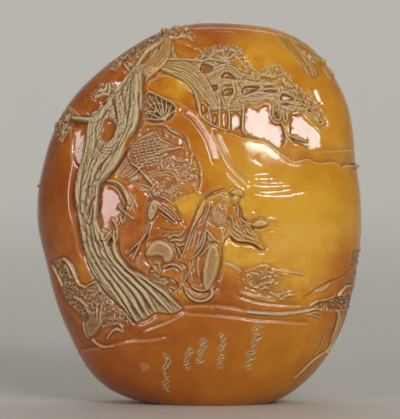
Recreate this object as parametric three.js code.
// Stone landscape carving: a polished soapstone pebble, carved in thin relief on its front
// with an old pine, two figures, a thatched shelter and rocky ledges, and plainer on its back.
// Millimetres, +Z up. The carved front faces -Y. The pebble stands on its own flat underside,
// and the origin lies on that underside, below the middle of the stone's bounding box.

import * as THREE from 'three';
import { mergeVertices } from 'three/addons/utils/BufferGeometryUtils.js';

// Driving dimensions of the uncut pebble
const MIDDLE_HEIGHT = 47; // height of the silhouette's centre above the underside
const SILHOUETTE_STEP = 20; // degrees between the radii below, anticlockwise from +X seen from the front
const SILHOUETTE_RADII = [
  41, 42, 47.5, 50.8, 48.8, 47.2, 44.2, 42.7, 41, 40.2, 40, 43.2, 48.6, 48.8, 50, 50, 46.2, 42.2,
];
const FRONT_DEPTH = 21.5; // from the rim to the thickest place of the carved front
const BACK_DEPTH = 19.5;
const THICKEST_HEIGHT = 32;
const TOP_THINNING = 5.5; // how much of each depth is lost at the top of the stone
const THINNING_REACH = 63; // over this height above the thickest place
const SECTION_POWER = 2.5; // 2 is an ellipse, more is squarer at the rim

// Faceting
const FRONT_COLUMNS = 60;
const FRONT_ROWS = 62;
const MERGE_DISTANCE = 1e-4;

// Depths of the carving, out from the pebble's skin
const TRUNK_HEIGHT = 2.4;
const BRANCH_HEIGHT = 1.7;
const NEEDLE_HEIGHT = 0.9;
const ROOT_HEIGHT = 1.5;
const FIGURE_HEIGHT = 2.2;
const ROCK_HEIGHT = 1.6;
const LEDGE_CUT = 2;
const LOW_LEDGE_CUT = 1.3;
const KNOT_DEPTH = 1.4;
const EDGE_RAMP = 1.6; // width of the slope where a cut starts
const RIM_FADE = 0.35; // relief fades out below this share of the full depth

const STONE_COLOUR = 0xc27a2c;
const STONE_ROUGHNESS = 0.25;

// Small helpers

const mix = (a, b, share) => a + (b - a) * share;

const clamp01 = (value) => Math.min(1, Math.max(0, value));

const smooth = (value) => {
  const share = clamp01(value);
  return share * share * (3 - 2 * share);
};

const dome = (distance) => Math.max(0, 1 - distance ** 3);

// The uncut pebble

function silhouetteRadius(angle) {
  const count = SILHOUETTE_RADII.length;
  const place = THREE.MathUtils.euclideanModulo(THREE.MathUtils.radToDeg(angle), 360) / SILHOUETTE_STEP;
  const knot = Math.floor(place);
  const [before, start, end, after] = [-1, 0, 1, 2].map(
    (offset) => SILHOUETTE_RADII[(knot + offset + count) % count],
  );
  const t = place - knot;
  const slopeIn = (end - before) / 2;
  const slopeOut = (after - start) / 2;
  const bend = 3 * (end - start) - 2 * slopeIn - slopeOut;
  const twist = slopeIn + slopeOut - 2 * (end - start);
  return start + t * (slopeIn + t * (bend + t * twist));
}

function depthAt(z, fullDepth) {
  const climb = (z - THICKEST_HEIGHT) / THINNING_REACH;
  return fullDepth - TOP_THINNING * climb * climb;
}

// across and up run from -1 to 1 over one face; towards is -1 on the front and 1 on the back
function pebblePoint(across, up, towards) {
  const u = across * Math.sqrt(1 - (up * up) / 2);
  const v = up * Math.sqrt(1 - (across * across) / 2);
  const angle = Math.atan2(v, u);
  const share = Math.sin((Math.min(1, Math.hypot(u, v)) * Math.PI) / 2);
  const radius = silhouetteRadius(angle) * share;
  const x = radius * Math.cos(angle);
  const z = MIDDLE_HEIGHT + radius * Math.sin(angle);
  const fullDepth = towards < 0 ? FRONT_DEPTH : BACK_DEPTH;
  const bulge = Math.max(0, 1 - share ** SECTION_POWER) ** (1 / SECTION_POWER);
  return new THREE.Vector3(x, towards * depthAt(z, fullDepth) * bulge, z);
}

// Carving strokes. A path is a list of [x, z] or [x, z, half width], as seen from the front.

function nearestOnPath(path, x, z) {
  let best = { distance: Infinity, side: 1, beyond: 0, halfWidth: 1 };
  for (let i = 0; i + 1 < path.length; i += 1) {
    const [ax, az, startWidth = 1] = path[i];
    const [bx, bz, endWidth = 1] = path[i + 1];
    const [dx, dz] = [bx - ax, bz - az];
    const length = Math.hypot(dx, dz);
    const along = ((x - ax) * dx + (z - az) * dz) / (length * length);
    const held = clamp01(along);
    const distance = Math.hypot(x - ax - held * dx, z - az - held * dz);
    if (distance < best.distance) {
      const side = Math.sign(dx * (z - az) - dz * (x - ax)) || 1;
      const beyond = Math.abs(along - held) * length;
      best = { distance, side, beyond, halfWidth: mix(startWidth, endWidth, held) };
    }
  }
  return best;
}

// A rounded branch, trunk or fold of cloth
function ridge(path, height) {
  return (x, z) => {
    const { distance, halfWidth } = nearestOnPath(path, x, z);
    return height * dome(distance / halfWidth);
  };
}

// Ground cut down on the left of the path, and rising back to the skin over the fade
function cutBeside(path, depth, fade) {
  return (x, z) => {
    const { distance, side, beyond } = nearestOnPath(path, x, z);
    if (side < 0) return 0;
    const start = smooth(distance / EDGE_RAMP);
    const end = Math.exp(-(distance / fade) - (beyond / EDGE_RAMP) ** 2);
    return -depth * start * end;
  };
}

// A rounded boss, turned anticlockwise by the given degrees
function mound([centreX, centreZ], [radiusX, radiusZ], turn, height) {
  const [cos, sin] = [Math.cos(turn * THREE.MathUtils.DEG2RAD), Math.sin(turn * THREE.MathUtils.DEG2RAD)];
  return (x, z) => {
    const [dx, dz] = [x - centreX, z - centreZ];
    const across = (dx * cos + dz * sin) / radiusX;
    const up = (dz * cos - dx * sin) / radiusZ;
    return height * dome(Math.hypot(across, up));
  };
}

// The old pine on the left, leaning right into its branches

function trunkAndRoots() {
  const trunk = [
    [-23, 36, 3.4], [-26.5, 45, 3.6], [-27, 54, 4], [-25, 61, 5.6], [-22.5, 67, 6.4], [-18.5, 73, 5.2],
    [-16, 80, 3.8],
  ];
  const roots = [0, 0.5, 1].map((share) => [
    [mix(-28, -21, share), mix(37, 35, share), 2.2],
    [mix(-24.5, -15.5, share), mix(30.5, 31.5, share), 2.2],
    [mix(-20, -10.5, share), mix(25.5, 28.5, share), 2.2],
    [mix(-15, -6.5, share), mix(21.5, 25, share), 1.6],
  ]);
  return [ridge(trunk, TRUNK_HEIGHT), ...roots.map((path) => ridge(path, ROOT_HEIGHT))];
}

function branches() {
  const rightLimb = [[-15, 80, 3.4], [-12.5, 84, 2.8], [-8.5, 85.6, 2.6], [-3.8, 84.6, 2.6], [1, 80, 3]];
  const upperLimb = [[-14, 82, 2.6], [-9.5, 87, 2.2], [-6.5, 92, 2]];
  const leftLimb = [[-15.5, 83, 2.6], [-17, 86, 2.2], [-20, 87.5, 2]];
  const fork = [[2.5, 86, 3], [3, 80, 4.4], [4.5, 73.5, 3.4]];
  const spreading = [[5, 76, 2.8], [11, 76.5, 2.6], [18, 77, 2.8], [25.5, 75.5, 3], [31.5, 70.5, 2]];
  const edgeLimb = [[19, 92, 2], [24.5, 90, 2.4], [28, 86.5, 2.4], [29, 81.5, 2]];
  const limbs = [rightLimb, upperLimb, leftLimb, fork, spreading, edgeLimb];
  const needleFans = [
    [[7, 88], [5.5, 4]], [[18.5, 82.5], [6.5, 3.6]], [[26, 76.5], [5.5, 4.5]], [[-9.5, 75.5], [5, 3.6]],
    [[-32, 69.5], [3.6, 4.4]], [[-25.5, 76.5], [3.8, 3.4]], [[-4.5, 91.5], [4.5, 2.6]],
  ];
  return [
    ...limbs.map((path) => ridge(path, BRANCH_HEIGHT)),
    ...needleFans.map(([centre, radii]) => mound(centre, radii, 0, NEEDLE_HEIGHT)),
  ];
}

// Cut ground that makes the slopes, mist and ledges step behind one another

function ledges() {
  const hillBrow = [
    [-14, 79.5], [-6.5, 76], [-0.5, 72.5], [6.8, 68.5], [14, 65.8], [19.8, 63.2], [24.2, 61], [30, 60.4],
    [40, 60.2],
  ];
  const slopeBehindShelter = [[12, 56.5], [6.5, 61], [2.5, 67], [-0.5, 71], [-4, 75]];
  const leftBoss = [[-35.5, 48], [-36.5, 58], [-33, 67]];
  const groundEdge = [[-8, 24], [0, 25.3], [8, 24.8], [16, 23.6], [26, 24.4], [33, 27.5], [39, 28.5]];
  const lowerGround = [[-29.5, 13.5], [-24, 15], [-16, 17.5], [-8, 18.2]];
  return [
    cutBeside(hillBrow, LEDGE_CUT, 9),
    cutBeside(slopeBehindShelter, LOW_LEDGE_CUT, 5),
    cutBeside(leftBoss, LOW_LEDGE_CUT, 5),
    cutBeside(groundEdge, LEDGE_CUT, 8),
    cutBeside(lowerGround, LOW_LEDGE_CUT, 4),
  ];
}

const knotHollow = () => mound([-22, 68.5], [2.6, 3.6], -20, -KNOT_DEPTH);

function shelter() {
  return [
    mound([-11.5, 62], [7.5, 4.6], 12, ROCK_HEIGHT),
    ridge([[-2, 62, 1.6], [-1.6, 56.5, 1.6]], NEEDLE_HEIGHT),
  ];
}

// The scholar stands at the middle, and the attendant bends beside the pine

function figures() {
  const scholarBack = [[2, 51.5, 2.4], [-0.5, 46, 2.6], [-2.5, 41, 2.4], [-3.5, 35, 2]];
  const scholarArm = [[8.5, 49, 2.2], [12, 46, 2.2], [17.5, 46.8, 1.8]];
  const hangingSleeve = [[11.5, 46, 2.2], [14, 41.5, 2.2]];
  const shoes = [[-2.5, 29.5, 1.8], [0.5, 27.6, 1.8], [4, 28.2, 1.8]];
  return [
    mound([8.5, 51.5], [3.2, 3.4], 0, FIGURE_HEIGHT),
    mound([4.5, 47.5], [6, 6.5], 0, FIGURE_HEIGHT),
    mound([3, 35.5], [3.4, 7.4], -8, FIGURE_HEIGHT),
    ...[scholarBack, scholarArm, hangingSleeve, shoes].map((path) => ridge(path, BRANCH_HEIGHT)),
    mound([-8, 47.5], [5, 4.6], 0, FIGURE_HEIGHT),
    mound([-9.5, 39.5], [4.4, 4.4], 0, FIGURE_HEIGHT),
    mound([-5.5, 34.5], [3.6, 3.4], 0, BRANCH_HEIGHT),
  ];
}

function rocks() {
  const bosses = [
    [[-33.5, 31], [4, 6.5], 20], [[-27, 26], [5.4, 5.2], -20], [[-20.5, 20.5], [5, 4.4], 20],
    [[-28.5, 20], [3.4, 5.6], 15], [[-22, 49], [2.6, 7.4], 8], [[-33, 59.5], [3.4, 8.6], 0],
    [[15.5, 32.5], [5.4, 3], 0], [[34, 26.5], [4.6, 3.6], 20], [[29.5, 90], [2.6, 3.6], -45],
  ];
  return bosses.map(([centre, radii, turn]) => mound(centre, radii, turn, ROCK_HEIGHT));
}

const FRONT_CARVING = {
  raised: [...trunkAndRoots(), ...branches(), ...shelter(), ...figures(), ...rocks()],
  cuts: [...ledges(), knotHollow()],
};

// The back is plainer: three ledges, two rocks and a bank of cloud, as seen from the front

function plainBack() {
  const highLedge = [[-36, 66], [-20, 71], [-4, 66], [12, 72], [30, 70]];
  const middleLedge = [[-36, 40], [-22, 46], [-4, 42], [14, 48], [38, 44]];
  const lowLedge = [[-34, 22], [-14, 27], [8, 22], [26, 26], [38, 22]];
  const clouds = [0, 1, 2].map((i) => ridge(
    [[-14 + 9 * i, 82 - i, 1.6], [-9 + 9 * i, 84.5 - i, 3], [-4 + 9 * i, 82 - i, 1.6]], NEEDLE_HEIGHT,
  ));
  return {
    raised: [
      mound([-24, 56], [7, 9], 15, ROCK_HEIGHT), mound([22, 58], [8, 9], -15, ROCK_HEIGHT), ...clouds,
    ],
    cuts: [
      cutBeside(highLedge, LEDGE_CUT, 9), cutBeside(middleLedge, LEDGE_CUT, 9),
      cutBeside(lowLedge, LOW_LEDGE_CUT, 8),
    ],
  };
}

const BACK_CARVING = plainBack();

// The highest raised form shows at each place, over the deepest cut, and both fade out at the rim

function relief(point) {
  const [depth, carving] = point.y < 0 ? [FRONT_DEPTH, FRONT_CARVING] : [BACK_DEPTH, BACK_CARVING];
  const heights = (strokes) => strokes.map((stroke) => stroke(point.x, point.z));
  const carved = Math.max(0, ...heights(carving.raised)) + Math.min(0, ...heights(carving.cuts));
  return carved * smooth(Math.abs(point.y) / (RIM_FADE * depth));
}

// The pebble's mesh: a fine net on the front, one of half as many rows and columns on the back

function faceNet(columns, rows, towards) {
  const net = [];
  for (let row = 0; row <= rows; row += 1) {
    net.push([]);
    for (let column = 0; column <= columns; column += 1) {
      net[row].push(pebblePoint(-1 + (2 * column) / columns, -1 + (2 * row) / rows, towards));
    }
  }
  return net;
}

// A quad is cut from its corner nearest the net's corner, so that no sliver lies along the rim
function frontTriangles() {
  const net = faceNet(FRONT_COLUMNS, FRONT_ROWS, -1);
  const triangles = [];
  for (let row = 0; row < FRONT_ROWS; row += 1) {
    for (let column = 0; column < FRONT_COLUMNS; column += 1) {
      const [a, b] = [net[row][column], net[row][column + 1]];
      const [c, d] = [net[row + 1][column + 1], net[row + 1][column]];
      const sameSide = (column < FRONT_COLUMNS / 2) === (row < FRONT_ROWS / 2);
      triangles.push(...(sameSide ? [a, b, c, a, c, d] : [a, b, d, b, c, d]));
    }
  }
  return triangles;
}

// Each rim edge of the back net gets the front net's point at its middle
function backTriangles() {
  const [columns, rows] = [FRONT_COLUMNS / 2, FRONT_ROWS / 2];
  const fine = faceNet(FRONT_COLUMNS, FRONT_ROWS, 1);
  const triangles = [];
  for (let row = 0; row < rows; row += 1) {
    for (let column = 0; column < columns; column += 1) {
      const [low, left] = [2 * row, 2 * column];
      const corners = [[0, 0], [0, 2], [2, 2], [2, 0]].map(([up, right]) => [low + up, left + right]);
      const onRim = ([r, c]) => r === 0 || c === 0 || r === FRONT_ROWS || c === FRONT_COLUMNS;
      const loop = [];
      corners.forEach(([r, c], i) => {
        const [nextR, nextC] = corners[(i + 1) % 4];
        loop.push([r, c]);
        const middle = [(r + nextR) / 2, (c + nextC) / 2];
        if (onRim(middle)) loop.push(middle);
      });
      const apex = Math.max(0, loop.findIndex((place) => !onRim(place)));
      const fan = [...loop.slice(apex), ...loop.slice(0, apex)].map(([r, c]) => fine[r][c]);
      for (let i = 1; i + 1 < fan.length; i += 1) triangles.push(fan[0], fan[i + 1], fan[i]);
    }
  }
  return triangles;
}

function carvedStone() {
  const skin = new THREE.BufferGeometry().setFromPoints([...frontTriangles(), ...backTriangles()]);
  const geometry = mergeVertices(skin, MERGE_DISTANCE);
  geometry.computeVertexNormals();
  const position = geometry.getAttribute('position');
  const normals = geometry.getAttribute('normal');
  const point = new THREE.Vector3();
  const normal = new THREE.Vector3();
  for (let i = 0; i < position.count; i += 1) {
    point.fromBufferAttribute(position, i);
    normal.fromBufferAttribute(normals, i);
    point.addScaledVector(normal, relief(point));
    position.setXYZ(i, point.x, point.y, Math.max(0, point.z));
  }
  geometry.computeBoundingBox();
  const middle = geometry.boundingBox.getCenter(new THREE.Vector3());
  geometry.translate(-middle.x, -middle.y, 0);
  geometry.computeVertexNormals();
  const material = new THREE.MeshStandardMaterial({ color: STONE_COLOUR, roughness: STONE_ROUGHNESS });
  const mesh = new THREE.Mesh(geometry, material);
  mesh.name = 'carved_stone';
  return mesh;
}

const carving = new THREE.Group();
carving.add(carvedStone());

export default carving;
